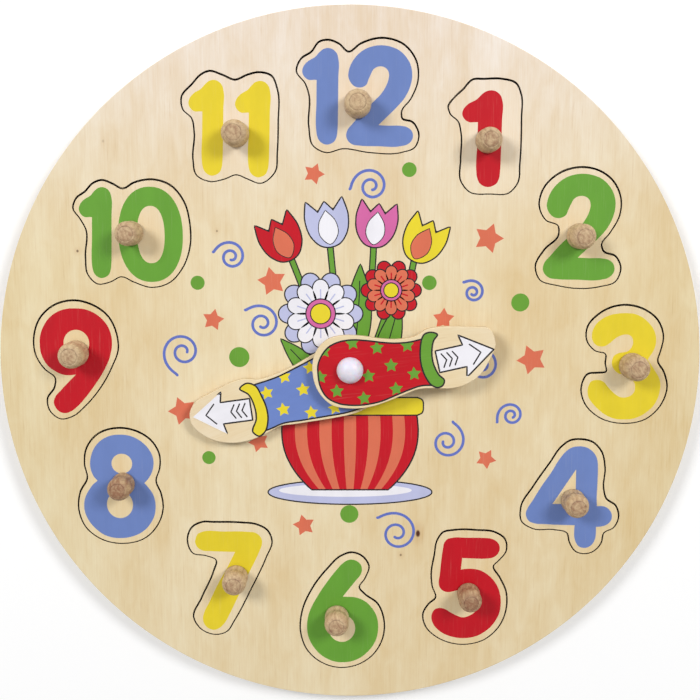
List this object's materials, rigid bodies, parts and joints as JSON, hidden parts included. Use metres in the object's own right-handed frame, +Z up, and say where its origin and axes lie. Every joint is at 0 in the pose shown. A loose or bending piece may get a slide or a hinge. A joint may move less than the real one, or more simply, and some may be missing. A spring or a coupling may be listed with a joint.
{
  "type": "clock puzzle",
  "caption": "Round wooden clock puzzle: knobbed number blocks lift out of a layered board, and flat hands turn on a capped centre pivot.",
  "frame": {"origin": "centre of the underside of the round board", "axes": "+Z is up out of the face, +Y runs from the centre towards the twelve, +X towards the three"},
  "size_m": [0.3, 0.3, 0.0222],
  "materials": {
    "plywood": "pale plywood, sanded and clear-lacquered, printed on the face",
    "turned_wood": "turned peg wood, clear-lacquered",
    "white_plastic": "white, smooth",
    "steel": "zinc-plated",
    "red_hand": "plywood printed red",
    "blue_hand": "plywood printed blue"
  },
  "bodies": {
    "board": {"backing_board": "plywood", "face_board": "plywood", "pivot_stud": "white_plastic", "pivot_cap": "white_plastic", "lower_washer": "white_plastic", "upper_washer": "white_plastic"},
    "number_1": {"number_1_block": "plywood", "number_1_knob": "turned_wood", "number_1_screw": "steel"},
    "number_2": {"number_2_block": "plywood", "number_2_knob": "turned_wood", "number_2_screw": "steel"},
    "number_3": {"number_3_block": "plywood", "number_3_knob": "turned_wood", "number_3_screw": "steel"},
    "number_4": {"number_4_block": "plywood", "number_4_knob": "turned_wood", "number_4_screw": "steel"},
    "number_5": {"number_5_block": "plywood", "number_5_knob": "turned_wood", "number_5_screw": "steel"},
    "number_6": {"number_6_block": "plywood", "number_6_knob": "turned_wood", "number_6_screw": "steel"},
    "number_7": {"number_7_block": "plywood", "number_7_knob": "turned_wood", "number_7_screw": "steel"},
    "number_8": {"number_8_block": "plywood", "number_8_knob": "turned_wood", "number_8_screw": "steel"},
    "number_9": {"number_9_block": "plywood", "number_9_knob": "turned_wood", "number_9_screw": "steel"},
    "number_10": {"number_10_block": "plywood", "number_10_knob": "turned_wood", "number_10_screw": "steel"},
    "number_11": {"number_11_block": "plywood", "number_11_knob": "turned_wood", "number_11_screw": "steel"},
    "number_12": {"number_12_block": "plywood", "number_12_knob": "turned_wood", "number_12_screw": "steel"},
    "minute_hand": {"minute_hand": "blue_hand"},
    "hour_hand": {"hour_hand": "red_hand"}
  },
  "joints": [
    {"name": "number_1_lift", "type": "slide", "parent": "board", "child": "number_1", "axis": [0, 0, 1], "range_m": [0, 0.03]},
    {"name": "number_2_lift", "type": "slide", "parent": "board", "child": "number_2", "axis": [0, 0, 1], "range_m": [0, 0.03]},
    {"name": "number_3_lift", "type": "slide", "parent": "board", "child": "number_3", "axis": [0, 0, 1], "range_m": [0, 0.03]},
    {"name": "number_4_lift", "type": "slide", "parent": "board", "child": "number_4", "axis": [0, 0, 1], "range_m": [0, 0.03]},
    {"name": "number_5_lift", "type": "slide", "parent": "board", "child": "number_5", "axis": [0, 0, 1], "range_m": [0, 0.03]},
    {"name": "number_6_lift", "type": "slide", "parent": "board", "child": "number_6", "axis": [0, 0, 1], "range_m": [0, 0.03]},
    {"name": "number_7_lift", "type": "slide", "parent": "board", "child": "number_7", "axis": [0, 0, 1], "range_m": [0, 0.03]},
    {"name": "number_8_lift", "type": "slide", "parent": "board", "child": "number_8", "axis": [0, 0, 1], "range_m": [0, 0.03]},
    {"name": "number_9_lift", "type": "slide", "parent": "board", "child": "number_9", "axis": [0, 0, 1], "range_m": [0, 0.03]},
    {"name": "number_10_lift", "type": "slide", "parent": "board", "child": "number_10", "axis": [0, 0, 1], "range_m": [0, 0.03]},
    {"name": "number_11_lift", "type": "slide", "parent": "board", "child": "number_11", "axis": [0, 0, 1], "range_m": [0, 0.03]},
    {"name": "number_12_lift", "type": "slide", "parent": "board", "child": "number_12", "axis": [0, 0, 1], "range_m": [0, 0.03]},
    {"name": "minute_hand_turn", "type": "hinge", "parent": "board", "child": "minute_hand", "pos_m": [0, 0, 0.0114], "axis": [0, 0, -1], "continuous": true},
    {"name": "hour_hand_turn", "type": "hinge", "parent": "board", "child": "hour_hand", "pos_m": [0, 0, 0.0156], "axis": [0, 0, -1], "continuous": true}
  ]
}
